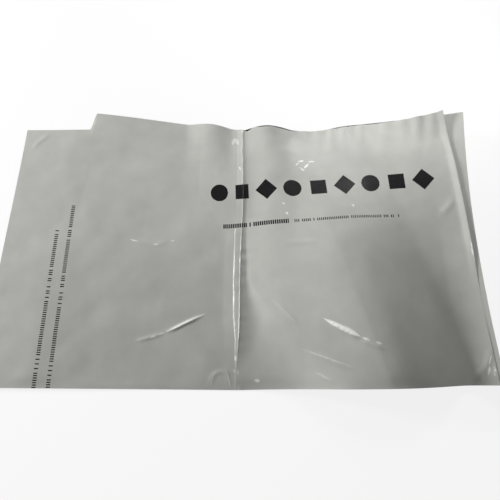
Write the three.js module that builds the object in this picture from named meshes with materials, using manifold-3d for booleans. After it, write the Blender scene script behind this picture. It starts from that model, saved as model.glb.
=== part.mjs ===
// A poly mailer bag, lying empty and unfolded on a table with its printed side up.
// Millimetres, +Z up. +X runs along the bag from the flap to the sealed end, +Y away from the viewer.
// The origin is under the middle of the bag's outer box, on the table.
import * as THREE from "three";
import { mergeVertices } from "three/addons/utils/BufferGeometryUtils.js";
import Module from "manifold-3d";

// The film as it was cut: the packing fold across the bag is where the length is counted from.
const foldToSeal = 254;
const foldToMouth = 170;
const flapLength = 84;
const depth = 286;
const film = 0.5; // drawn thicker than the real film, which is about 0.06

// Welds, and the free skirt of the lower panel beyond the upper one at the sealed end.
const sideWeld = 5;
const endWeld = 10;
const nearSkirt = 5;
const farSkirt = 23;

// The far edge: the body stands out beyond the flap at a slanted shoulder, and waves in and out.
const shoulderOut = 21;
const shoulderLength = 7;
const shoulderBefore = 3;
const edgeWaves = [
  { out: 1.9, at: -36, reach: 28 },
  { out: 2.7, at: 38, reach: 32 },
  { out: -4, at: 93, reach: 38 },
];

// How the bag lies: the sealed half is turned a little, and corners curl up off the table.
// Each curl has a lift at the corner and a reach along and across the bag.
const sealHalfTurn = THREE.MathUtils.degToRad(1.6);
const turnLength = 48;
const sealCorner = { lift: 26, along: 185, across: 226 };
const nearCorner = { lift: 3, along: 38, across: 69 };
const mouthCorner = { lift: 3, at: -140, reach: 100, across: 80 };

// The packing fold: a low ridge, a crest beyond it at the far edge and a bump before it there.
const ridge = { height: 1.6, at: 3, reach: 12 };
const crest = { height: 5.6, nearHeight: 0.6, at: 38, reach: 32 };
const farBump = { height: 3.9, at: -35, reach: 30 };

// The sealed half swells towards the near edge and falls to a slanting trough before its end.
const swollen = { height: 18, more: 0.3, start: 10, near: 144, lean: 0.26 };
const trough = { near: 234, lean: 0.26 };
const endRise = { lift: 8, along: 36 };

// Air between the two panels: least along the welds, less at the mouth and most at the fold.
const leastAir = 0.4;
const mostAir = 2.9;
const mouthShare = 0.4;
const mouthRun = 150;
const sealRun = 90;

// The closure under the flap: a strip of adhesive, and the release liner that covers it.
const adhesiveWidth = 24;
const adhesiveThickness = 0.4;
const linerWidth = 32;
const linerThickness = 0.4;
const stripFromFlapEnd = 30;
const stripEndMargin = 8;
const seat = 0.3; // clearance between pieces that touch

// How finely the film is drawn, and how far the space inside is drawn past the mouth to open it.
const bodyCells = 14;
const sealCells = 20;
const acrossCells = 16;
const mouthOverrun = 1.5;
const mouthCell = 8;

const flapEnd = -foldToMouth - flapLength;
const underFlap = linerThickness + adhesiveThickness + 2 * seat;
const stripCentre = flapEnd + stripFromFlapEnd;
const flapSettle = 30; // over this much of the flap, its height comes down to that over the strips
const mouth = -foldToMouth;
const hair = 0.2; // how far apart two stations lie where a panel stops

const clamp01 = (t) => Math.min(Math.max(t, 0), 1);
const smooth = (t) => clamp01(t) ** 2 * (3 - 2 * clamp01(t));
const bump = (t) => Math.max(0, 1 - t * t) ** 2;
const mix = THREE.MathUtils.lerp;
const swell = (s, form) => bump((s - form.at) / form.reach);

// Falls from 1 at no distance to 0 at the reach.
const curl = (distance, reach, power) => clamp01(1 - Math.max(distance, 0) / reach) ** power;

// The cut depth of the film at the distance s from the fold.
function depthAt(s) {
  const shoulder = smooth((s - mouth + shoulderBefore) / shoulderLength + 0.5);
  return depth + shoulderOut * shoulder * clamp01(s / mouth);
}

// Where a point of the film lies in plan: s along the bag, v from 0 at the near edge to 1 at the far one.
function plan(s, v) {
  const turned = smooth(s / turnLength + 0.5) * Math.tan(sealHalfTurn);
  const y = v * depthAt(s);
  const wave = edgeWaves.reduce((sum, form) => sum + form.out * swell(s, form), 0);
  return { x: s - y * turned, y: y + s * turned + wave * v ** 4 };
}

// Height that the sealed half's swelling and its end give.
function sealedSwell(s, v) {
  const crestAt = swollen.near - swollen.lean * depth * v;
  const troughAt = trough.near - trough.lean * depth * v;
  const climbed = clamp01((s - swollen.start) / (crestAt - swollen.start));
  const foot = mix(0.8, 0.05, smooth(v / 0.4));
  const rising = (1 - (1 - climbed) ** 1.3) * smooth(climbed / foot);
  const falling = 1 - smooth(clamp01((s - crestAt) / (troughAt - crestAt)) ** 1.3);
  const nearness = 1 - smooth((v - 0.2) / 0.8) + swollen.more * (1 - smooth(v / 0.4));
  const end = endRise.lift * curl(foldToSeal - s, endRise.along, 1.2) * (1 - smooth(v / 0.9));
  return swollen.height * rising * falling * nearness + end;
}

// Height of the film's underside above the table, which the fold and the curled corners give.
function lift(s, v) {
  const fromFar = depth * (1 - v);
  const fromSeal = foldToSeal - s;
  const fromShoulder = depth + shoulderOut - v * depthAt(s);
  return (
    sealCorner.lift * curl(fromSeal, sealCorner.along, 1.6) * curl(fromFar, sealCorner.across, 2) +
    nearCorner.lift * curl(fromSeal, nearCorner.along, 1) * curl(depth * v, nearCorner.across, 2) +
    mouthCorner.lift * swell(s, mouthCorner) * curl(fromShoulder, mouthCorner.across, 2) +
    ridge.height * swell(s, ridge) +
    mix(crest.nearHeight, crest.height, v ** 4) * swell(s, crest) +
    farBump.height * v ** 8 * swell(s, farBump) +
    sealedSwell(s, v)
  );
}

// The gap between the panels.
function air(s, v) {
  const acrossBag = 4 * v * (1 - v);
  const towardsMouth = mix(mouthShare, 1, clamp01(1 + s / mouthRun) ** 2);
  const towardsSeal = smooth((foldToSeal - s) / sealRun);
  return leastAir + (mostAir - leastAir) * acrossBag * towardsMouth * towardsSeal;
}

// Underside of the upper panel, which runs on past the mouth as the flap.
function upperPanel(s, v) {
  const overBody = film + air(s, v);
  const pastMouth = smooth((mouth - s) / flapSettle);
  return lift(s, v) + mix(overBody, underFlap, pastMouth);
}

const evenly = (from, to, count) => Array.from({ length: count + 1 }, (_, i) => mix(from, to, i / count));

const weldShare = sideWeld / depth;
const across = [0, ...evenly(weldShare, 1 - weldShare, acrossCells), 1];
const flapStations = [
  flapEnd,
  mix(flapEnd, stripCentre - linerWidth / 2, 0.5),
  stripCentre - linerWidth / 2,
  stripCentre + linerWidth / 2,
  ...evenly(mouth - flapSettle, mouth - hair, 5),
];
const bodyStations = [
  mouth,
  ...evenly(mouth + mouthCell, ridge.at - ridge.reach, bodyCells),
  ...evenly(ridge.at - ridge.reach, ridge.at + ridge.reach, 4).slice(1),
  ...evenly(ridge.at + ridge.reach, foldToSeal - farSkirt - endWeld - nearSkirt, sealCells).slice(1),
];

// The last stations follow the upper panel's own end, which runs askew and leaves the skirt bare.
const upperEnd = (v) => foldToSeal - mix(nearSkirt, farSkirt, v ** 4);
const weldStart = (v) => upperEnd(v) - endWeld;
const upperStop = (v) => upperEnd(v) + hair;
const sealEnd = () => foldToSeal;

// A box whose grid lines are carried to the stations given, between a lower and an upper surface.
function slab(along, acrossStations, bottom, top) {
  const geometry = new THREE.BoxGeometry(1, 1, 1, along.length - 1, acrossStations.length - 1, 1);
  geometry.deleteAttribute("normal");
  geometry.deleteAttribute("uv");
  const position = geometry.getAttribute("position");
  for (let i = 0; i < position.count; i++) {
    const column = Math.round((position.getX(i) + 0.5) * (along.length - 1));
    const row = Math.round((position.getY(i) + 0.5) * (acrossStations.length - 1));
    const v = acrossStations[row];
    const station = along[column];
    const s = typeof station === "function" ? station(v) : station;
    const { x, y } = plan(s, v);
    const height = position.getZ(i) > 0 ? top : bottom;
    position.setXYZ(i, x, y, height(s, v));
  }
  return geometry;
}

const wasm = await Module();
wasm.setup();

function solid(geometry) {
  const merged = mergeVertices(geometry, 1e-4);
  const mesh = new wasm.Mesh({
    numProp: 3,
    vertProperties: merged.attributes.position.array,
    triVerts: new Uint32Array(merged.index.array),
  });
  return new wasm.Manifold(mesh);
}

function geometryOf(manifold) {
  const mesh = manifold.getMesh();
  const geometry = new THREE.BufferGeometry();
  geometry.setAttribute("position", new THREE.BufferAttribute(mesh.vertProperties, 3));
  geometry.setIndex(new THREE.BufferAttribute(mesh.triVerts, 1));
  return geometry;
}

// The bag: one film, folded back at the sealed end and welded along both sides, open at the mouth.
function mailerFilm() {
  const pastUpper = (s, v) => s > upperEnd(v) + hair / 2;
  const outside = slab(
    [...flapStations, ...bodyStations, weldStart, upperEnd, upperStop, sealEnd],
    across,
    (s, v) => (s < mouth - hair / 2 ? upperPanel(s, v) : lift(s, v)),
    (s, v) => (pastUpper(s, v) ? lift(s, v) : upperPanel(s, v)) + film,
  );
  const open = (s) => (s < mouth ? leastAir / 4 : 0);
  const inside = slab(
    [mouth - mouthOverrun, ...bodyStations, weldStart],
    across.slice(1, -1),
    (s, v) => lift(s, v) + film + open(s),
    (s, v) => upperPanel(s, v) - open(s),
  );
  return geometryOf(solid(outside).subtract(solid(inside)));
}

// A flat strip under the flap, running across the bag.
function flapStrip(width, thickness) {
  return new THREE.BoxGeometry(width, depth - 2 * stripEndMargin, thickness);
}

const white = new THREE.MeshStandardMaterial({ color: 0xd9dad6, roughness: 0.32, metalness: 0 });
const clear = new THREE.MeshStandardMaterial({ color: 0xd8cfa8, roughness: 0.25, metalness: 0 });
const paper = new THREE.MeshStandardMaterial({ color: 0xe9e3cc, roughness: 0.55, metalness: 0 });

function piece(name, geometry, material) {
  const mesh = new THREE.Mesh(geometry, material);
  mesh.name = name;
  return mesh;
}

const bag = new THREE.Group();
bag.add(piece("mailer_film", mailerFilm(), white));

const liner = piece("release_liner", flapStrip(linerWidth, linerThickness), paper);
liner.position.set(stripCentre, depth / 2, linerThickness / 2);
bag.add(liner);

const adhesive = piece("adhesive_strip", flapStrip(adhesiveWidth, adhesiveThickness), clear);
adhesive.position.set(stripCentre, depth / 2, linerThickness + seat + adhesiveThickness / 2);
bag.add(adhesive);

// The bag lies about the middle of its own outer box.
const middle = new THREE.Box3().setFromObject(bag).getCenter(new THREE.Vector3());
bag.position.set(-middle.x, -middle.y, 0);

export default bag;
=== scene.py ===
"""A poly mailer bag: white film with a black inner side, lying empty and unfolded, printed side up."""

import math

import bpy
import numpy as np
from mathutils import Matrix, Vector


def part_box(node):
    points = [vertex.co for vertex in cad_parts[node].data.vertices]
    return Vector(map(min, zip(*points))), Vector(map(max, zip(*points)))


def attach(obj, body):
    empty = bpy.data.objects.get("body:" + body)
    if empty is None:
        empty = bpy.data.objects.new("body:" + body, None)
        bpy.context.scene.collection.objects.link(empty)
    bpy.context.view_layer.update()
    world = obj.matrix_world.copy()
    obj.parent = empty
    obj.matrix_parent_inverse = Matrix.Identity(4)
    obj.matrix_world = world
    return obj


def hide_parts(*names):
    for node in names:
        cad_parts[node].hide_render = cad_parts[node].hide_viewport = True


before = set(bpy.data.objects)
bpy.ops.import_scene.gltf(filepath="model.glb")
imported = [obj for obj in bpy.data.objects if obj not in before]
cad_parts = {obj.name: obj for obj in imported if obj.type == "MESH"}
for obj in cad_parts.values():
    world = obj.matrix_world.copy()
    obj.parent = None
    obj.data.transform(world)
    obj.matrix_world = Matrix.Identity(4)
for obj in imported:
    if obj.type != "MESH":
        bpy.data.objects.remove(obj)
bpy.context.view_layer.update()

bl_info = {
    "name": "Poly mailer bag",
    "version": (1, 0, 0),
    "blender": (4, 5, 0),
    "location": "View3D > Sidebar > Mailer",
    "description": "Builds the film, closure and studio of a poly mailer bag around its packed frame",
    "category": "Object",
}

# Lengths in this script are millimetres. The film is counted along the bag from its packing fold,
# and across it from the near edge; the frame gives where the fold and the near edge lie.
MM = 0.001
film_low, film_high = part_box("mailer_film")
near_edge = film_low.y / MM
flap_end = film_low.x / MM
seal_end = film_high.x / MM

depth = 286
mouth = -170
flap_settle = 30
weld_margin = 6
near_skirt = 5
far_skirt = 23
shoulder = {"out": 21, "length": 7, "before": 3}
edge_waves = ((1.9, -36, 28), (2.7, 38, 32), (-4, 93, 38))

# How the bag lies: the sealed half is turned a little, corners curl up, and the middle is humped.
seal_half_turn = math.radians(1.6)
turn_length = 48
seal_corner = {"lift": 26, "along": 185, "across": 226, "power": 1.6}
near_corner = {"lift": 3, "along": 38, "across": 69, "power": 1}
mouth_corner = {"lift": 3, "at": -140, "reach": 100, "across": 80}
crest = {"height": 5.6, "near_height": 0.6, "at": 38, "reach": 32}
far_bump = {"height": 3.9, "at": -35, "reach": 30}
low_ridge = {"height": 0.4, "at": 3, "reach": 6}

# The sealed half swells and falls again to a trough, and its end rises. A foot is the share of the
# climb over which it sets in. The near part and the level part are shares of the bag's depth.
swell = {"height": 18, "more": 0.3, "start": 10, "near": 144, "lean": 0.26, "power": 1.3}
near_foot = 0.8
far_foot = 0.05
near_part = 0.4
level_part = 0.2
trough = {"near": 234, "lean": 0.26}
end_rise = {"lift": 8, "along": 36, "across": 0.9, "power": 1.2}

# The gap between the panels, and what holds the flap and the body's sides up at the mouth.
least_air = 0.15
most_air = 2.6
mouth_share = 0.4
mouth_run = 150
seal_run = 90
under_flap = 1.4
side_lift = {"height": 0.95, "along": 110, "steepness": 5}

# The upper film's own forms: waves that calm down at the edges, a raised tip and lip at the sealed
# end, ripples along the far edge, and the flap's end, cut a little askew.
wave_heights = {"broad": 0.45, "middle": 0.2, "small": 0.04}
calm_edge = 12
far_tip = {"lift": 5, "out": 2.6, "along": 60, "across": 30, "power": 1.3}
end_lip = {"height": 1.7, "from_end": 6, "width": 5, "near": 0.3, "grow": 0.25}
ripples = {"height": 0.45, "start": 60, "grow": 40, "across": 42, "power": 1.5}
fine_ripple = 2.9
coarse_ripple = 4.7
ripple_drift = 17
flap_askew = {"shift": 3, "near": 0.3, "run": 84}
panel_clearance = 0.03

# Where the upper film's far edge falls short of the lower one's: notches as (depth, place, reach),
# and a thin strip along the sealed half. The film is drawn in over the reach.
notches = ((3.4, 15, 9), (1.5, 34, 14), (1.9, 57, 23))
thin_strip = {"width": 1.1, "start": 106, "grow": 10, "end": 238, "shrink": 12}
notch_reach = 30

# The two creases of the packing fold, as (distance from the near edge, place along the bag).
left_crease = (
    (0, -2), (22, -0.9), (46, -1.3), (75, -3.1), (105, -3.4), (135, -2.8), (170, -1.5), (296, 0),
)
right_crease = (
    (0, -1), (22, 0), (46, 1.9), (75, 3.2), (105, 3.6), (135, 4.3), (165, 6.3), (182, 7.5), (296, 8),
)

# The fold in section: a run up to its foot, a steep riser at each crease with a tread between them,
# and a long fall. It fades at the near edge, and softens and grows beyond the middle of the bag.
near_fade = {"share": 0.08, "start": 14, "reach": 50}
soft_from = 150
steps_soften = 30
section_grows = 60
near_section = {"run": 12, "foot": 0.5, "tread": 0.3}
far_section = {"run": 45, "foot": 1.6, "tread": 0.9}
crease_wander = 0.4
crease_quiver = 0.2
left_step = {"height": 0.5, "uneven": 0.3}
right_step = {"height": 0.36, "uneven": 0.34}
riser = 0.9
fold_fall = {"after": 0.8, "share": 0.84, "reach": 23, "power": 1.9}

# The grid of each panel along the bag and across it, as stretches of (start, end, pitch). It is
# finer where the creases lie. The upper panel's last rows follow its slanting end.
upper_along = (
    (flap_end, mouth - 6, 2.4), (mouth - 6, mouth + 6, 1.2), (mouth + 6, -94, 2.4), (-94, -30, 1.4),
    (-30, -6, 1.8), (-6, 11, 0.42), (11, 84, 2.2), (84, 150, 1.4), (150, seal_end, 2.4),
)
upper_across = ((0, 18, 2.0), (18, 74, 1.3), (74, depth - 6, 2.3), (depth - 6, depth, 1.5))
lower_along = ((mouth, -12, 2.8), (-12, 12, 1.6), (12, seal_end, 2.8))
lower_across = ((0, depth, 2.8),)
slant_from = 150
sharp_angle = math.radians(50)

# A closure strip: its grid, how square its crown is in section, how high its sides stand as a share
# of its thickness, and over what length its ends are rounded.
strip_columns = 13
strip_pitch = 2.5
squareness = 8
side_share = 0.3
end_rounding = 2

# Creases pressed into the upper film: their height, half width and points in plan.
creases = (
    (0.8, 1.4, ((-76, 53), (-66, 57), (-50, 65), (-33, 73))),
    (0.4, 1.4, ((-104, 45), (-90, 48.5), (-72, 54))),
    (0.9, 2.2, ((87, 65), (106, 55), (119, 47))),
    (0.35, 1.6, ((114, 48), (142, 38))),
    (0.35, 1.9, ((-116, 152), (-90, 146), (-71, 151))),
    (0.35, 2.2, ((35, 88), (49, 73), (63, 59))),
    (0.3, 2.0, ((62, 38), (86, 29), (111, 19))),
    (0.25, 1.8, ((78, 15), (94, 8))),
    (0.35, 1.4, ((-29, 1), (-23, 14), (-17, 17), (-10, 16), (-6, 2))),
    (0.3, 2.4, ((41, 146), (64, 147), (87, 147))),
    (0.5, 3.2, ((216, 178), (225, 188), (233, 199))),
    (0.5, 3.0, ((-247, 254), (-238, 270), (-224, 281))),
    (0.9, 1.8, ((240, 6), (236, 18), (243, 30), (247, 44))),
    (0.7, 1.6, ((228, 8), (235, 22), (233, 34))),
)

# Painted highlights: thin white glints painted along the creases and crinkles, as start, end, half width
# and strength.
painted_glints = (
    ((-73, 54.5), (-32, 74), 1.7, 1.0),
    ((-88, 49), (-82, 51), 1.2, 0.7),
    ((-80, 52), (-74, 54), 1.2, 0.7),
    ((-103, 46), (-95, 47.5), 0.8, 0.3),
    ((85, 66), (118, 47), 3.0, 1.0),
    ((97, 59.5), (119, 47), 3.2, 1.0),
    ((120, 46.5), (127, 43.5), 1.7, 0.9),
    ((132, 42), (138, 40), 1.7, 0.8),
    ((-118, 152), (-108, 150), 0.9, 0.8),
    ((-92, 146), (-86, 147), 0.9, 0.8),
    ((-74, 150), (-69, 151), 0.9, 0.6),
    ((-1.5, 33), (-1, 27), 1.6, 0.9),
    ((-3, 20), (-2, 16), 1.1, 0.7),
    ((1, 19), (1.5, 14), 1.1, 0.7),
    ((-26, 4), (-21, 17), 1.0, 0.6),
    ((-10, 17), (-6, 3), 1.0, 0.6),
    ((35, 88), (63, 59), 0.9, 0.15),
    ((62, 38), (111, 19), 0.9, 0.35),
    ((75, 16), (90, 8), 0.9, 0.35),
    ((72, 243), (79, 245), 1.6, 1.0),
    ((78, 234), (84, 241), 1.8, 1.0),
    ((83, 243), (91, 244), 1.5, 0.9),
    ((73, 236), (79, 231), 1.4, 0.8),
    ((69, 238), (73, 242), 1.2, 0.7),
    ((52, 191), (55, 189), 1.5, 0.9),
    ((55, 180), (58, 177), 1.5, 0.9),
    ((126, 187), (129, 184), 1.6, 0.9),
    ((3, 238), (5, 233), 1.6, 0.9),
    ((-8, 266), (-3, 275), 3.4, 0.45),
    ((-3, 275), (2, 266), 3.4, 0.45),
    ((17, 9), (23, 8), 2.0, 0.8),
    ((241, 9), (244, 19), 1.3, 0.9),
    ((243, 18), (247, 28), 1.3, 0.9),
    ((246, 8), (248, 18), 1.1, 0.8),
    ((247, 143), (249.5, 117), 1.6, 0.8),
)

# The print: a row of large shapes as (start, end, number, half their size), with squares and
# lozenges as shares of that size, and rows of short bars as (start, end, height, pitch, share of the
# pitch inked, share left out, seed).
large_shapes = ((-36, 195), (222, 205), 9, 10)
square_share = 0.86
lozenge_share = 1.2
bar_rows = (
    ((-19, 164), (58, 167), 4.8, 2.3, 0.7, 0.1, 4.0),
    ((64, 168), (178, 172), 3.2, 2.0, 0.52, 0.12, 9.0),
    ((-186, 191), (-186, 0), 4.0, 2.2, 0.52, 0.14, 21.0),
    ((-200, 162), (-200, 0), 4.0, 2.2, 0.52, 0.14, 37.0),
)

# Half width and strength of the painted highlights on the fold's creases, the colour of the painted
# highlights, and the darkest and lightest share of a material's colour that its mottling takes.
fold_glint = (0.9, 0.7)
painted_glint_colour = (0.95, 0.95, 0.93, 1)
mottling = (0.81, 1.17)

# The grain of the surfaces, in cells per metre: orange peel, draw lines along and across the bag,
# broad tone, smudges, and the breaks in a painted highlight, which also wobbles by some millimetres.
peel_scale = 420.0
draw_line_scale = (900.0, 30.0, 1.0)
tone_scale = 22.0
smudge_scale = 60.0
break_scale = 330.0
mark_wobble = 1.6

# The finishes: roughness and how far it varies, and the depth in metres of orange peel and of draw
# lines. The outer film's roughness is a setting.
outer_finish = {"uneven": 0.12, "peel": 0.00001, "lines": 0.000006}
inner_finish = {"roughness": 0.375, "uneven": 0.15, "peel": 0.00001, "lines": 0.000008}
adhesive_finish = {"roughness": 0.25, "uneven": 0.2, "peel": 0.00003, "lines": 0.00002}
liner_finish = {"roughness": 0.45, "uneven": 0.2, "peel": 0.00001, "lines": 0.00001}

# The soft square lamps: which power each has, where it is, what it faces and its side.
lamps = {
    "low_side_lamp": ("low_side_power", (-1193, 140, 125), (0, 140, 0), 200),
    "side_lamp": ("side_power", (-1134, 444, 250), (0, 140, 0), 200),
    "back_lamp": ("back_power", (170, 700, 300), (85, 140, 0), 160),
    "right_lamp": ("right_power", (250, 400, 150), (125, 140, 0), 160),
}

# The floor, in metres: how far it reaches each way, and how far it lies below the bag.
floor_reach = 6
floor_drop = 0.0001

# Camera: where the photograph was taken from, and a lens of 380 pixels on a picture 500 wide.
camera_place = (17.3, 32.4, 391.6)
camera_yaw = math.radians(-2.84)
camera_pitch = math.radians(74.46)
camera_roll = math.radians(-2.49)
picture_width = 500
focal_length = 380
sensor_width = 36


def clamp01(t):
    return np.clip(t, 0, 1)


def smooth(t):
    t = clamp01(t)
    return t * t * (3 - 2 * t)


def bump(t):
    return np.maximum(0, 1 - t * t) ** 2


def mix(a, b, t):
    return a + (b - a) * t


def curl(distance, reach, power):
    """Falls from 1 at no distance to 0 at the reach."""
    return clamp01(1 - np.maximum(distance, 0) / reach) ** power


def half_turned(s):
    """Tangent of the turn at s: none at the flap, and all of it in the sealed half."""
    return smooth(s / turn_length + 0.5) * math.tan(seal_half_turn)


def hump(s, form):
    """A smooth hump along the bag, 1 at its place and 0 at its reach."""
    return bump((s - form["at"]) / form["reach"])


def depth_at(s):
    """The cut depth of the film at the distance s from the fold."""
    stepped = smooth((s - mouth + shoulder["before"]) / shoulder["length"] + 0.5)
    return depth + shoulder["out"] * stepped * clamp01(s / mouth)


def plan(s, v):
    """Where the film lies in plan: s along the bag, v from 0 at the near edge to 1 at the far one."""
    y = v * depth_at(s)
    wave = sum(height * bump((s - at) / reach) for height, at, reach in edge_waves)
    return s - y * half_turned(s), y + s * half_turned(s) + wave * v**4


def sealed_swell(s, v):
    """The sealed half bulges towards the near edge and falls to a slanting trough before its end."""
    y = depth * v
    crest_at = swell["near"] - swell["lean"] * y
    trough_at = trough["near"] - trough["lean"] * y
    from_near = smooth(v / near_part)
    climbed = clamp01((s - swell["start"]) / (crest_at - swell["start"]))
    foot = mix(near_foot, far_foot, from_near)
    rising = (1 - (1 - climbed) ** swell["power"]) * smooth(climbed / foot)
    fallen = clamp01((s - crest_at) / (trough_at - crest_at))
    falling = 1 - smooth(fallen ** swell["power"])
    nearness = 1 - smooth((v - level_part) / (1 - level_part)) + swell["more"] * (1 - from_near)
    past = curl(seal_end - s, end_rise["along"], end_rise["power"])
    past = past * (1 - smooth(v / end_rise["across"]))
    return swell["height"] * rising * falling * nearness + end_rise["lift"] * past


def corner_curl(corner, from_seal, from_edge):
    """How far a corner of the sealed end curls up."""
    along = curl(from_seal, corner["along"], corner["power"])
    return corner["lift"] * along * curl(from_edge, corner["across"], 2)


def lift(s, v):
    """Height of the lower film above the table, which the fold and the curled corners give."""
    from_shoulder = depth + shoulder["out"] - v * depth_at(s)
    mouth_curl = mouth_corner["lift"] * hump(s, mouth_corner)
    crest_height = mix(crest["near_height"], crest["height"], v**4)
    return (
        corner_curl(seal_corner, seal_end - s, depth * (1 - v))
        + corner_curl(near_corner, seal_end - s, depth * v)
        + mouth_curl * curl(from_shoulder, mouth_corner["across"], 2)
        + crest_height * hump(s, crest)
        + far_bump["height"] * v**8 * hump(s, far_bump)
        + sealed_swell(s, v)
    )


def air(s, v):
    """The gap between the panels: least along the welds, less at the mouth and most at the fold."""
    across_bag = 4 * v * (1 - v)
    towards_mouth = mix(mouth_share, 1, clamp01(1 + s / mouth_run) ** 2)
    towards_seal = smooth((seal_end - s) / seal_run)
    return least_air + (most_air - least_air) * across_bag * towards_mouth * towards_seal


def along_fold(y, place, pace):
    """Seeded unevenness along the fold, from -1 to 1; each place gives another run of it."""
    return small_waves(0 * y + place, y * pace)


def fold_ridge(s, v):
    """Height that the packing fold adds to the upper film."""
    y = v * depth
    left = np.interp(y, *zip(*left_crease)) + crease_wander * along_fold(y, 0, 1.4)
    left = left + crease_quiver * along_fold(y, 50, 3)
    right = np.interp(y, *zip(*right_crease)) + crease_wander * along_fold(y, 90, 1.7)
    height = mix(near_fade["share"], 1, smooth((y - near_fade["start"]) / near_fade["reach"]))
    sharp = 1 - smooth((y - soft_from) / steps_soften)
    first_step = (left_step["height"] + left_step["uneven"] * along_fold(y, 20, 1.2)) * sharp
    second_step = right_step["height"] + right_step["uneven"] * along_fold(y, 130, 1.5) * sharp
    far_share = smooth((y - soft_from) / section_grows)
    run, foot, tread_rise = (mix(near_section[part], far_section[part], far_share) for part in near_section)
    tread = foot + first_step
    top = tread + tread_rise + second_step
    brow = right + fold_fall["after"]
    brow_height = fold_fall["share"] * top
    section = (
        (left - run, 0 * y), (left - riser, foot), (left, tread),
        (right - riser, top - second_step), (right, top), (brow, brow_height),
    )
    z = np.zeros_like(s)
    for (start, low), (end, high) in zip(section, section[1:]):
        inside = (s >= start) & (s < end)
        share = (s - start) / np.maximum(end - start, 1e-6)
        z = np.where(inside, mix(low, high, share), z)
    fall = brow_height * (1 - clamp01((s - brow) / fold_fall["reach"])) ** fold_fall["power"]
    return height * np.where(s >= brow, fall, z)


class Waves:
    """Smooth seeded noise over the plan, from -1 to 1, with a wavelength in millimetres."""

    cells = 64
    middle = (31.5, 17.5)

    def __init__(self, seed, wavelength):
        self.lattice = np.random.default_rng(seed).uniform(-1, 1, (self.cells, self.cells))
        self.wavelength = wavelength

    def __call__(self, x, y):
        x = x / self.wavelength + self.middle[0]
        y = y / self.wavelength + self.middle[1]
        column = np.floor(x).astype(int)
        row = np.floor(y).astype(int)
        across = smooth(x - column)
        up = smooth(y - row)

        def at(dx, dy):
            return self.lattice[(row + dy) % self.cells, (column + dx) % self.cells]

        return mix(mix(at(0, 0), at(1, 0), across), mix(at(0, 1), at(1, 1), across), up)


broad_waves = Waves(3, 55)
middle_waves = Waves(5, 22)
small_waves = Waves(8, 9)
edge_wander = Waves(11, 14)


def crease_height(x, y):
    """Height that the pressed creases add to the upper film."""
    total = np.zeros_like(x)
    for height, half_width, points in creases:
        nearest = np.full_like(x, np.inf)
        travelled = np.zeros_like(x)
        length = 0
        for (ax, ay), (bx, by) in zip(points, points[1:]):
            dx, dy = bx - ax, by - ay
            t = clamp01(((x - ax) * dx + (y - ay) * dy) / (dx * dx + dy * dy))
            away = np.hypot(x - ax - t * dx, y - ay - t * dy)
            travelled = np.where(away < nearest, length + t * math.hypot(dx, dy), travelled)
            nearest = np.minimum(nearest, away)
            length += math.hypot(dx, dy)
        from_end = 3 * travelled / length
        taper = smooth(from_end) * smooth(3 - from_end)
        total += height * taper * np.exp(-((nearest / half_width) ** 2))
    return total


def edge_ripples(s, v):
    """Short ripples that run in from the far edge of the sealed half."""
    fine = np.sin(s / fine_ripple + 1.5 * np.sin(s / ripple_drift))
    wave = fine + 0.7 * np.sin(s / coarse_ripple + 2)
    growth = smooth((s - ripples["start"]) / ripples["grow"])
    return ripples["height"] * wave * growth * curl(depth * (1 - v), ripples["across"], ripples["power"])


def mouth_rise(s, v):
    """How far the body's sides come up towards the mouth, where the flap lies on its strips."""
    side = 1 - np.minimum(1, side_lift["steepness"] * v * (1 - v))
    return side_lift["height"] * side * smooth(1 - (s - mouth) / side_lift["along"])


def lower_height(s, v):
    """Underside of the lower panel."""
    return lift(s, v) + mouth_rise(s, v) + low_ridge["height"] * hump(s, low_ridge)


def film_waves(s, v):
    """Gentle waves of the upper film, which calm down at its near and far edges."""
    x, y = plan(s, v)
    waves = (
        wave_heights["broad"] * broad_waves(x, y)
        + wave_heights["middle"] * middle_waves(x, y)
        + wave_heights["small"] * small_waves(x, y)
    )
    return waves * smooth(depth * v / calm_edge) * smooth(depth * (1 - v) / calm_edge)


def tip_curl(s, v):
    """From 0 to 1 towards the upper film's far corner at the sealed end."""
    along = curl(upper_end(v) - s, far_tip["along"], far_tip["power"])
    return along * curl(depth * (1 - v), far_tip["across"], 2)


def upper_height(s, v, gauge):
    """Top of the upper panel, which runs on past the mouth as the flap."""
    past_mouth = smooth((mouth - s) / flap_settle)
    over_strips = under_flap + gauge
    over_body = 2 * gauge + air(s, v) + mouth_rise(s, v)
    base = lift(s, v) + mix(over_body, over_strips, past_mouth)
    creased = base + fold_ridge(s, v) + crease_height(*plan(s, v)) + edge_ripples(s, v) + film_waves(s, v)
    lip = smooth((s - upper_end(v) + end_lip["from_end"]) / end_lip["width"])
    lip = end_lip["height"] * lip * smooth((v - end_lip["near"]) / end_lip["grow"])
    top = creased + far_tip["lift"] * tip_curl(s, v) + lip
    over_lower = mix(lower_height(s, v) + 2 * gauge, over_strips, past_mouth)
    return np.maximum(top, over_lower + panel_clearance)


def upper_end(v):
    """Where the upper film ends, short of the sealed end."""
    return seal_end - mix(near_skirt, far_skirt, v**4)


def stations(*stretches):
    """Places along the film: each stretch is (start, end, pitch), and the pitch is rounded to fit."""
    places = []
    for start, end, pitch in stretches:
        count = max(1, round((end - start) / pitch))
        places.extend(mix(start, end, i / count) for i in range(count))
    return np.array(places + [stretches[-1][1]])


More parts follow.
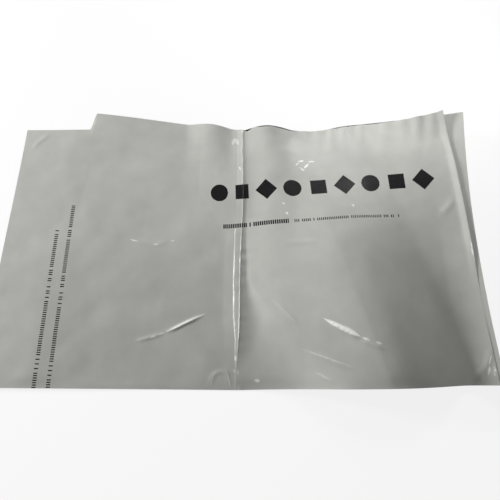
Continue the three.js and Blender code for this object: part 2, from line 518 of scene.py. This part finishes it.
def shell(name, x, y, top, bottom, film_s, film_y, materials, upper_material, lower_material):
    """A closed thin shell over a grid of rows and columns, with its cut edge in the second material."""
    rows, columns = x.shape
    count = rows * columns
    vertices = np.concatenate([
        np.stack([x, y + near_edge, top], -1).reshape(-1, 3),
        np.stack([x, y + near_edge, bottom], -1).reshape(-1, 3),
    ]) * MM
    index = np.arange(count).reshape(rows, columns)
    a, b, c, d = index[:-1, :-1], index[:-1, 1:], index[1:, 1:], index[1:, :-1]
    upper_faces = np.stack([a, b, c, d], -1).reshape(-1, 4)
    lower_faces = np.stack([a, d, c, b], -1).reshape(-1, 4) + count
    rim = np.concatenate([index[0], index[1:, -1], index[-1, -2::-1], index[-2:0:-1, 0]])
    onward = np.roll(rim, -1)
    rim_faces = np.stack([onward, rim, rim + count, onward + count], -1)
    faces = np.concatenate([upper_faces, lower_faces, rim_faces])
    mesh = bpy.data.meshes.new(name)
    mesh.from_pydata(vertices.tolist(), [], faces.tolist())
    for material in materials:
        mesh.materials.append(material)
    kinds = np.full(len(faces), 1, np.int32)
    kinds[: len(upper_faces)] = upper_material
    kinds[len(upper_faces): len(upper_faces) * 2] = lower_material
    mesh.polygons.foreach_set("material_index", kinds)
    mesh.polygons.foreach_set("use_smooth", np.ones(len(faces), bool))
    places = np.stack([film_s, film_y], -1).reshape(-1, 2) * MM
    places = np.concatenate([places, places])
    layer = mesh.uv_layers.new(name="film_place")
    layer.data.foreach_set("uv", places[faces.reshape(-1)].astype(np.float32).ravel())
    mesh.update()
    mesh.set_sharp_from_angle(angle=sharp_angle)
    mesh.validate()
    piece = bpy.data.objects.new(name, mesh)
    bpy.context.scene.collection.objects.link(piece)
    return piece


def ride_as_film(piece):
    """The piece stays with the bag's body and stands for its film."""
    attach(piece, "root")
    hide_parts("mailer_film")


def edge_shortfall(s):
    """How far the upper film's far edge falls short of the lower one's, where black shows beyond it."""
    growing = smooth((s - thin_strip["start"]) / thin_strip["grow"])
    shrinking = smooth((thin_strip["end"] - s) / thin_strip["shrink"])
    cut = sum(height * bump((s - at) / reach) for height, at, reach in notches)
    return cut + thin_strip["width"] * growing * shrinking


def make_upper_panel(settings):
    """The printed upper film with its flap, shorter than the lower one at the sealed end."""
    s, v = np.meshgrid(stations(*upper_along), stations(*upper_across) / depth)
    s = s - smooth((s - slant_from) / (seal_end - slant_from)) * (seal_end - upper_end(v))
    x, y = plan(s, v)
    askew = smooth((v - flap_askew["near"]) / (1 - flap_askew["near"]))
    x = x + flap_askew["shift"] * askew * smooth((mouth - s) / flap_askew["run"])
    y = y + far_tip["out"] * tip_curl(s, v) - edge_shortfall(s) * curl(depth * (1 - v), notch_reach, 1)
    gauge = settings.film_gauge / MM
    top = upper_height(s, v, gauge)
    materials = (printed_film(settings), inner_film(settings))
    piece = shell("upper_panel", x, y, top, top - gauge, s, v * depth_at(s), materials, 0, 1)
    ride_as_film(piece)


def make_lower_panel(settings):
    """The plain lower film, from the mouth to the sealed end, with its black side up."""
    s, v = np.meshgrid(stations(*lower_along), stations(*lower_across) / depth)
    x, y = plan(s, v)
    gauge = settings.film_gauge / MM
    bottom = lower_height(s, v)
    materials = (plain_film(settings), inner_film(settings))
    piece = shell("lower_panel", x, y, bottom + gauge, bottom, s, v * depth_at(s), materials, 1, 0)
    bare = s > upper_end(v) - weld_margin
    skirt = np.flatnonzero((bare[:-1, :-1] & bare[1:, 1:]).ravel())
    for face in skirt:
        piece.data.polygons[int(face)].material_index = 0
    ride_as_film(piece)


def make_strip(name, node, material, crown, wander):
    """A long strip under the flap, a little crowned and with edges that wander slightly."""
    low, high = (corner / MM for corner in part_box(node))
    across = np.linspace(-1, 1, strip_columns)
    along = stations((low.y - near_edge, high.y - near_edge, strip_pitch))
    t, y = np.meshgrid(across, along)
    half = (high.x - low.x) / 2 - wander * (0.5 + 0.5 * edge_wander(y, 0 * y))
    x = (low.x + high.x) / 2 + t * half
    rounded = np.sqrt(np.maximum(0, 1 - np.abs(t) ** squareness))
    ends = smooth((y - y.min()) / end_rounding + 0.4) * smooth((y.max() - y) / end_rounding + 0.4)
    side_top = low.z + side_share * (high.z - low.z)
    top = mix(side_top, high.z - crown, rounded * ends) + crown * (1 - t * t) * ends
    bottom = np.full_like(top, low.z)
    piece = shell(name, x, y, top, bottom, x, y, (material, material), 0, 0)
    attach(piece, "root")
    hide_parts(node)


def nodes_of(material):
    """The material's node tree and its shader."""
    material.use_nodes = True
    tree = material.node_tree
    return tree, tree.nodes["Principled BSDF"]


def put(tree, kind, **values):
    """Adds a node, sets its properties, and feeds its inputs with sockets or numbers."""
    inputs = values.pop("inputs", {})
    node = tree.nodes.new(kind)
    for name, value in values.items():
        setattr(node, name, value)
    for name, value in inputs.items():
        feed(tree, node.inputs[name], value)
    return node


def feed(tree, socket, value):
    """Links a socket to another one, or sets it to a number, vector or colour."""
    if isinstance(value, bpy.types.NodeSocket):
        tree.links.new(value, socket)
    else:
        socket.default_value = value


def reckon(tree, operation, *values, clamp=False):
    """A Math node's result."""
    node = put(tree, "ShaderNodeMath", operation=operation, use_clamp=clamp)
    for socket, value in zip(node.inputs, values):
        feed(tree, socket, value)
    return node.outputs[0]


def blend(tree, factor, a, b):
    """A Mix node of two colours."""
    node = put(tree, "ShaderNodeMix", data_type="RGBA")
    feed(tree, node.inputs["Factor"], factor)
    feed(tree, node.inputs["A"], a)
    feed(tree, node.inputs["B"], b)
    return node.outputs["Result"]


def group(name, inputs, outputs):
    """An empty shader node group with the sockets given as (name, kind, default)."""
    tree = bpy.data.node_groups.new(name, "ShaderNodeTree")
    for socket, kind, default in inputs:
        item = tree.interface.new_socket(socket, in_out="INPUT", socket_type=kind)
        if default is not None:
            item.default_value = default
    for socket, kind in outputs:
        tree.interface.new_socket(socket, in_out="OUTPUT", socket_type=kind)
    start = tree.nodes.new("NodeGroupInput")
    end = tree.nodes.new("NodeGroupOutput")
    return tree, start.outputs, end.inputs


def noise(tree, place, scale, detail):
    """A Noise Texture's value."""
    inputs = {"Vector": place, "Scale": scale, "Detail": detail}
    return put(tree, "ShaderNodeTexNoise", inputs=inputs).outputs[0]


def film_grain():
    """Fine relief and mottling of blown film, as a height in metres and tones from 0 to 1."""
    known = bpy.data.node_groups.get("film grain")
    if known:
        return known
    tree, given, result = group(
        "film grain",
        [("Place", "NodeSocketVector", None), ("Orange Peel", "NodeSocketFloat", 0.00001),
         ("Draw Lines", "NodeSocketFloat", 0.00001)],
        [("Height", "NodeSocketFloat"), ("Tone", "NodeSocketFloat"), ("Smudge", "NodeSocketFloat")],
    )
    place = given["Place"]
    squeezed = put(tree, "ShaderNodeMapping", inputs={"Vector": place, "Scale": draw_line_scale})
    peel = reckon(tree, "MULTIPLY", noise(tree, place, peel_scale, 3.0), given["Orange Peel"])
    lines = reckon(tree, "MULTIPLY", noise(tree, squeezed.outputs[0], 1.0, 2.0), given["Draw Lines"])
    tree.links.new(reckon(tree, "ADD", peel, lines), result["Height"])
    tree.links.new(noise(tree, place, tone_scale, 4.0), result["Tone"])
    tree.links.new(noise(tree, place, smudge_scale, 5.0), result["Smudge"])
    return tree


def film_place(tree):
    """Coordinates along and across the film, in metres."""
    return put(tree, "ShaderNodeUVMap", uv_map="film_place").outputs[0]


def grained(tree, place, finish):
    """The grain group, set for one finish."""
    node = put(tree, "ShaderNodeGroup", node_tree=film_grain())
    feed(tree, node.inputs["Place"], place)
    node.inputs["Orange Peel"].default_value = finish["peel"]
    node.inputs["Draw Lines"].default_value = finish["lines"]
    return node.outputs


def line_frame(tree, place, start, end):
    """Coordinates along and across a line on the film between two points in millimetres."""
    angle = math.atan2(end[1] - start[1], end[0] - start[0])
    turned = put(tree, "ShaderNodeMapping", vector_type="TEXTURE")
    turned.inputs["Location"].default_value = (start[0] * MM, start[1] * MM, 0)
    turned.inputs["Rotation"].default_value = (0, 0, angle)
    turned.inputs["Scale"].default_value = (MM, MM, MM)
    feed(tree, turned.inputs["Vector"], place)
    parts = put(tree, "ShaderNodeSeparateXYZ", inputs={"Vector": turned.outputs[0]})
    return parts.outputs["X"], parts.outputs["Y"], math.dist(start, end)


def between(tree, value, low, high):
    """A mask of the values between two limits."""
    above = reckon(tree, "GREATER_THAN", value, low)
    below = reckon(tree, "LESS_THAN", value, high)
    return reckon(tree, "MULTIPLY", above, below)


def dashes(tree, place, start, end, height, pitch, inked, bare, seed):
    """A printed line of plain short bars, with some left out."""
    along, across, length = line_frame(tree, place, start, end)
    counted = reckon(tree, "DIVIDE", along, pitch)
    chance = put(tree, "ShaderNodeTexWhiteNoise", noise_dimensions="1D")
    feed(tree, chance.inputs["W"], reckon(tree, "ADD", reckon(tree, "FLOOR", counted), seed))
    stroke = reckon(tree, "LESS_THAN", reckon(tree, "FRACT", counted), inked)
    shown = reckon(tree, "MULTIPLY", stroke, reckon(tree, "GREATER_THAN", chance.outputs["Value"], bare))
    band = between(tree, across, 0.0, height)
    run = between(tree, along, 0.0, length)
    return reckon(tree, "MULTIPLY", reckon(tree, "MULTIPLY", shown, band), run)


def shape_row(tree, place, start, end, count, size):
    """A printed row of plain discs, squares and lozenges."""
    along, across, length = line_frame(tree, place, start, end)
    pitch = length / count
    cell = reckon(tree, "FLOOR", reckon(tree, "DIVIDE", along, pitch))
    in_cell = reckon(tree, "SUBTRACT", along, reckon(tree, "MULTIPLY", cell, pitch))
    p = reckon(tree, "ABSOLUTE", reckon(tree, "SUBTRACT", in_cell, pitch / 2))
    q = reckon(tree, "ABSOLUTE", reckon(tree, "SUBTRACT", across, size))
    squares = reckon(tree, "ADD", reckon(tree, "MULTIPLY", p, p), reckon(tree, "MULTIPLY", q, q))
    forms = (
        reckon(tree, "LESS_THAN", reckon(tree, "SQRT", squares), size),
        reckon(tree, "LESS_THAN", reckon(tree, "MAXIMUM", p, q), size * square_share),
        reckon(tree, "LESS_THAN", reckon(tree, "ADD", p, q), size * lozenge_share),
    )
    kind = reckon(tree, "FLOORED_MODULO", cell, float(len(forms)))
    total = 0.0
    for number, form in enumerate(forms):
        chosen = reckon(tree, "COMPARE", kind, float(number), 0.1)
        total = reckon(tree, "MULTIPLY_ADD", form, chosen, total)
    return reckon(tree, "MULTIPLY", total, between(tree, along, 0.0, length))


def print_mask(tree, place):
    """A mask of all that is printed on the upper film."""
    ink = shape_row(tree, place, *large_shapes)
    for row in bar_rows:
        ink = reckon(tree, "MAXIMUM", ink, dashes(tree, place, *row))
    return ink


def painted_glint_line(tree, broken, place, start, end, half_width):
    """A mask of one thin painted highlight, widest in its middle and broken up by noise."""
    along, across, length = line_frame(tree, place, start, end)
    wobble = reckon(tree, "MULTIPLY_ADD", broken, mark_wobble, -mark_wobble / 2)
    off = reckon(tree, "ABSOLUTE", reckon(tree, "ADD", across, wobble))
    share = reckon(tree, "DIVIDE", along, length)
    taper = reckon(tree, "MULTIPLY", share, reckon(tree, "SUBTRACT", 1.0, share), clamp=True)
    reach = reckon(tree, "ADD", reckon(tree, "MULTIPLY", taper, 4 * half_width), 0.01)
    inside = reckon(tree, "SUBTRACT", 1.0, reckon(tree, "DIVIDE", off, reach), clamp=True)
    inside = reckon(tree, "MULTIPLY", inside, reckon(tree, "GREATER_THAN", taper, 0.0))
    solid = 0.15 * half_width
    level = reckon(tree, "MULTIPLY_ADD", broken, 2.4 - solid, solid - 0.5, clamp=True)
    return reckon(tree, "MULTIPLY", reckon(tree, "MULTIPLY", inside, 1.8, clamp=True), level)


def painted_glint_mask(tree, place):
    """A mask of the painted highlights: thin white glints painted along the creases."""
    broken = noise(tree, place, break_scale, 2.0)
    # The fold's two creases get painted highlights along their middle segments.
    fold_glints = [
        ((s0, y0), (s1, y1), *fold_glint)
        for crease in (left_crease, right_crease)
        for (y0, s0), (y1, s1) in zip(crease[2:5], crease[3:6])
    ]
    total = 0.0
    for start, end, half_width, strength in (*painted_glints, *fold_glints):
        mark = painted_glint_line(tree, broken, place, start, end, half_width)
        total = reckon(tree, "MAXIMUM", total, reckon(tree, "MULTIPLY", mark, strength))
    return total


def film_colour(tree, base, grain):
    """The film's colour with its faint mottling."""
    darker = tuple(mottling[0] * c for c in base[:3]) + (1,)
    lighter = tuple(min(1, mottling[1] * c) for c in base[:3]) + (1,)
    smudge = reckon(tree, "MULTIPLY", grain["Smudge"], 0.4)
    return blend(tree, reckon(tree, "MULTIPLY_ADD", grain["Tone"], 0.6, smudge), darker, lighter)


def surface(tree, shader, grain, colour, roughness, uneven):
    """Gives the shader its colour, a roughness that varies, and the grain's relief."""
    tree.links.new(colour, shader.inputs["Base Color"])
    rough = reckon(tree, "MULTIPLY_ADD", grain["Smudge"], uneven, roughness - uneven / 2)
    tree.links.new(rough, shader.inputs["Roughness"])
    inputs = {"Height": grain["Height"], "Strength": 1.0, "Distance": 1.0}
    relief = put(tree, "ShaderNodeBump", inputs=inputs)
    tree.links.new(relief.outputs[0], shader.inputs["Normal"])


def outer_film(name, settings, printed):
    """Glossy white film, with the print on it where it is the upper panel."""
    material = bpy.data.materials.new(name)
    tree, shader = nodes_of(material)
    place = film_place(tree)
    grain = grained(tree, place, outer_finish)
    colour = film_colour(tree, settings.film_colour, grain)
    if printed:
        colour = blend(tree, print_mask(tree, place), colour, tuple(settings.ink_colour) + (1,))
        # Painted highlights: thin white glints painted over the film and the print along the creases.
        colour = blend(tree, painted_glint_mask(tree, place), colour, painted_glint_colour)
    surface(tree, shader, grain, colour, settings.film_roughness, outer_finish["uneven"])
    return material


def printed_film(settings):
    return outer_film("printed_film", settings, True)


def plain_film(settings):
    return outer_film("plain_film", settings, False)


def inner_film(settings):
    """The film's black inner side, which both panels share."""
    known = bpy.data.materials.get("inner_film")
    return known or mottled("inner_film", settings.inside_colour, inner_finish)


def mottled(name, base, finish):
    """An even colour with faint mottling, fine relief and fine lines."""
    material = bpy.data.materials.new(name)
    tree, shader = nodes_of(material)
    grain = grained(tree, film_place(tree), finish)
    surface(tree, shader, grain, film_colour(tree, base, grain), finish["roughness"], finish["uneven"])
    return material


def in_row(x, y, z):
    """A point counted from the fold and the near edge, in the frame's metres."""
    return Vector((x, y + near_edge, z)) * MM


def make_camera():
    data = bpy.data.cameras.new("photo_camera")
    data.sensor_width = sensor_width
    data.lens = focal_length * sensor_width / picture_width
    camera = bpy.data.objects.new("photo_camera", data)
    bpy.context.scene.collection.objects.link(camera)
    forward = Vector((
        math.sin(camera_yaw) * math.cos(camera_pitch),
        math.cos(camera_yaw) * math.cos(camera_pitch),
        -math.sin(camera_pitch),
    ))
    level = Vector((math.cos(camera_yaw), -math.sin(camera_yaw), 0))
    upright = level.cross(forward)
    right = math.cos(camera_roll) * level + math.sin(camera_roll) * upright
    up = -math.sin(camera_roll) * level + math.cos(camera_roll) * upright
    turn = Matrix((right, up, -forward)).transposed().to_4x4()
    camera.matrix_world = Matrix.Translation(in_row(*camera_place)) @ turn
    data.clip_start = 0.01
    data.clip_end = 50
    bpy.context.scene.camera = camera


def make_lamp(name, place, towards, size, power):
    """A soft rectangular lamp facing a point of the bag, both counted in millimetres."""
    data = bpy.data.lights.new(name, "AREA")
    data.shape = "RECTANGLE"
    data.size, data.size_y = (side * MM for side in size)
    data.energy = power
    lamp = bpy.data.objects.new(name, data)
    bpy.context.scene.collection.objects.link(lamp)
    lamp.location = in_row(*place)
    direction = in_row(*towards) - lamp.location
    lamp.rotation_euler = direction.to_track_quat("-Z", "Y").to_euler()
    lamp.visible_camera = False


def make_floor(settings):
    """A pale floor, white to the camera where no shadow falls."""
    size = floor_reach
    mesh = bpy.data.meshes.new("studio_floor")
    corners = [(-size, -size), (size, -size), (size, size), (-size, size)]
    mesh.from_pydata([(x, y, -floor_drop) for x, y in corners], [], [(0, 1, 2, 3)])
    floor = bpy.data.objects.new("studio_floor", mesh)
    bpy.context.scene.collection.objects.link(floor)
    material = bpy.data.materials.new("studio_floor")
    tree, shader = nodes_of(material)
    shader.inputs["Base Color"].default_value = tuple(settings.floor_colour) + (1,)
    shader.inputs["Roughness"].default_value = 0.9
    shader.inputs["Specular IOR Level"].default_value = 0.1
    glow = put(tree, "ShaderNodeEmission")
    rays = put(tree, "ShaderNodeLightPath")
    seen = reckon(tree, "MAXIMUM", rays.outputs["Is Camera Ray"], rays.outputs["Is Glossy Ray"])
    share = reckon(tree, "MULTIPLY", seen, settings.floor_glow)
    mixed = put(tree, "ShaderNodeMixShader")
    tree.links.new(share, mixed.inputs[0])
    tree.links.new(shader.outputs[0], mixed.inputs[1])
    tree.links.new(glow.outputs[0], mixed.inputs[2])
    tree.links.new(mixed.outputs[0], tree.nodes["Material Output"].inputs["Surface"])
    mesh.materials.append(material)


def make_world(settings):
    world = bpy.data.worlds.new("studio")
    bpy.context.scene.world = world
    world.use_nodes = True
    tree = world.node_tree
    rays = put(tree, "ShaderNodeLightPath")
    fill = settings.fill_light
    strength = reckon(tree, "MULTIPLY_ADD", rays.outputs["Is Camera Ray"], 1 - fill, fill)
    tree.links.new(strength, tree.nodes["Background"].inputs["Strength"])
    tree.nodes["Background"].inputs["Color"].default_value = (1, 1, 1, 1)


def colour_property(name, description, default):
    return bpy.props.FloatVectorProperty(
        name=name, description=description, default=default, subtype="COLOR", size=3, min=0, max=1
    )


class MailerSettings(bpy.types.PropertyGroup):
    film_gauge: bpy.props.FloatProperty(
        name="Film gauge", description="Drawn thickness of the film",
        default=0.00014, unit="LENGTH", precision=5,
    )
    film_roughness: bpy.props.FloatProperty(
        name="Film roughness", description="How dull the outer side of the film is",
        default=0.22, min=0.05, max=1,
    )
    film_colour: colour_property("Film", "Colour of the film's outer side", (0.53, 0.531, 0.5))
    inside_colour: colour_property("Inner side", "Colour of the film's inner side", (0.02, 0.02, 0.021))
    ink_colour: colour_property("Ink", "Colour of the printed shapes", (0.014, 0.014, 0.015))
    adhesive_colour: colour_property("Adhesive", "Colour of the hot-melt strip", (0.78, 0.74, 0.6))
    liner_colour: colour_property("Release liner", "Colour of the adhesive's cover", (0.88, 0.86, 0.8))


class StudioSettings(bpy.types.PropertyGroup):
    floor_colour: colour_property("Floor", "Colour of the floor", (0.95, 0.95, 0.95))
    floor_glow: bpy.props.FloatProperty(
        name="Floor glow", description="Share of plain white in the floor as the camera sees it",
        default=0.85, min=0, max=1, subtype="FACTOR",
    )
    fill_light: bpy.props.FloatProperty(
        name="Fill light", description="Strength of the even light from all round",
        default=0.055, min=0,
    )
    low_side_power: bpy.props.FloatProperty(
        name="Low side lamp", description="Power of the lowest lamp to the left of the bag",
        default=7.0, unit="POWER",
    )
    side_power: bpy.props.FloatProperty(
        name="Side lamp", description="Power of the lamp to the left, on the far side",
        default=20.0, unit="POWER",
    )
    back_power: bpy.props.FloatProperty(
        name="Back lamp", description="Power of the soft lamp beyond the bag",
        default=2.2, unit="POWER",
    )
    right_power: bpy.props.FloatProperty(
        name="Right lamp", description="Power of the soft lamp beyond the sealed end",
        default=0.27, unit="POWER",
    )


class MAILER_OT_stage(bpy.types.Operator):
    """Make the camera, the floor and the lamps"""

    bl_idname = "mailer.stage"
    bl_label = "Studio"

    def execute(self, context):
        settings = context.scene.mailer_studio
        make_camera()
        make_floor(settings)
        make_world(settings)
        for name, (power, place, faced, size) in lamps.items():
            make_lamp(name, place, faced, (size, size), getattr(settings, power))
        context.scene.view_settings.view_transform = "Standard"
        return {"FINISHED"}


class MAILER_OT_upper_panel(bpy.types.Operator):
    """Make the upper film with its flap"""

    bl_idname = "mailer.upper_panel"
    bl_label = "Upper panel"

    def execute(self, context):
        make_upper_panel(context.scene.mailer)
        return {"FINISHED"}


class MAILER_OT_lower_panel(bpy.types.Operator):
    """Make the lower film"""

    bl_idname = "mailer.lower_panel"
    bl_label = "Lower panel"

    def execute(self, context):
        make_lower_panel(context.scene.mailer)
        return {"FINISHED"}


class MAILER_OT_closure(bpy.types.Operator):
    """Make the adhesive strip and its release liner"""

    bl_idname = "mailer.closure"
    bl_label = "Closure strips"

    def execute(self, context):
        settings = context.scene.mailer
        adhesive = mottled("adhesive", settings.adhesive_colour, adhesive_finish)
        liner = mottled("release_liner", settings.liner_colour, liner_finish)
        make_strip("adhesive_bead", "adhesive_strip", adhesive, crown=0.08, wander=0.8)
        make_strip("liner_tape", "release_liner", liner, crown=0.04, wander=0.2)
        return {"FINISHED"}


class MAILER_PT_sidebar(bpy.types.Panel):
    """Lists the steps that build the bag"""

    bl_idname = "MAILER_PT_sidebar"
    bl_label = "Poly mailer bag"
    bl_space_type = "VIEW_3D"
    bl_region_type = "UI"
    bl_category = "Mailer"

    def draw(self, context):
        for operator in operators:
            self.layout.operator(operator.bl_idname)
        for owner in (context.scene.mailer, context.scene.mailer_studio):
            for name in owner.__annotations__:
                self.layout.prop(owner, name)


operators = (MAILER_OT_stage, MAILER_OT_upper_panel, MAILER_OT_lower_panel, MAILER_OT_closure)
classes = (MailerSettings, StudioSettings, *operators, MAILER_PT_sidebar)


def register():
    for cls in classes:
        bpy.utils.register_class(cls)
    bpy.types.Scene.mailer = bpy.props.PointerProperty(type=MailerSettings)
    bpy.types.Scene.mailer_studio = bpy.props.PointerProperty(type=StudioSettings)


def unregister():
    del bpy.types.Scene.mailer_studio
    del bpy.types.Scene.mailer
    for cls in reversed(classes):
        bpy.utils.unregister_class(cls)


def main():
    register()
    bpy.ops.mailer.stage()
    bpy.ops.mailer.upper_panel()
    bpy.ops.mailer.lower_panel()
    bpy.ops.mailer.closure()


if __name__ == "__main__":
    main()
